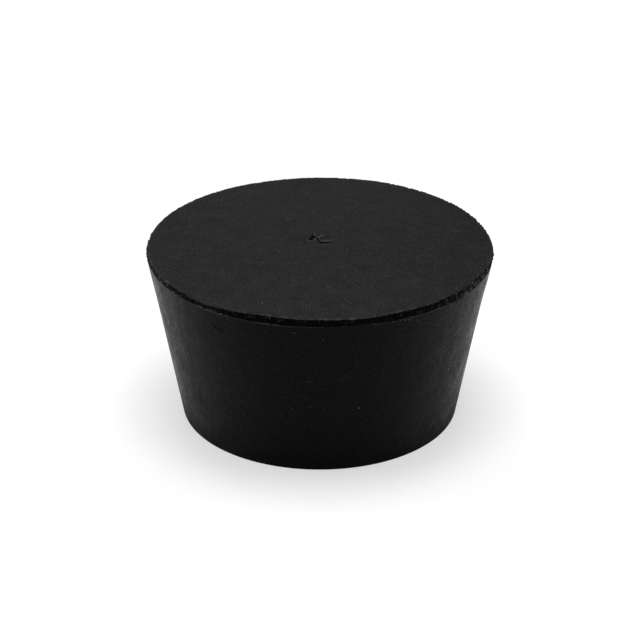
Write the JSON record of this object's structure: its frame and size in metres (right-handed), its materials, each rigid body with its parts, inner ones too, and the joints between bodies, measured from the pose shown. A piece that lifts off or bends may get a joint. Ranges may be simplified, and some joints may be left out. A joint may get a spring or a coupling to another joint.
{
  "type": "rubber stopper",
  "caption": "Solid tapered black rubber stopper, standing on its small end, with a rough trimmed band under the top edge.",
  "frame": {"origin": "centre of the small end's flat face, which the stopper stands on", "axes": "+Z along the stopper's axis, from the small end up through the large end; +X to the right and +Y away from the viewer"},
  "size_m": [0.0499, 0.0499, 0.026],
  "materials": {
    "black_rubber": "matte moulded rubber, a little satin at grazing angles"
  },
  "bodies": {
    "root": {"stopper": "black_rubber"}
  },
  "joints": []
}
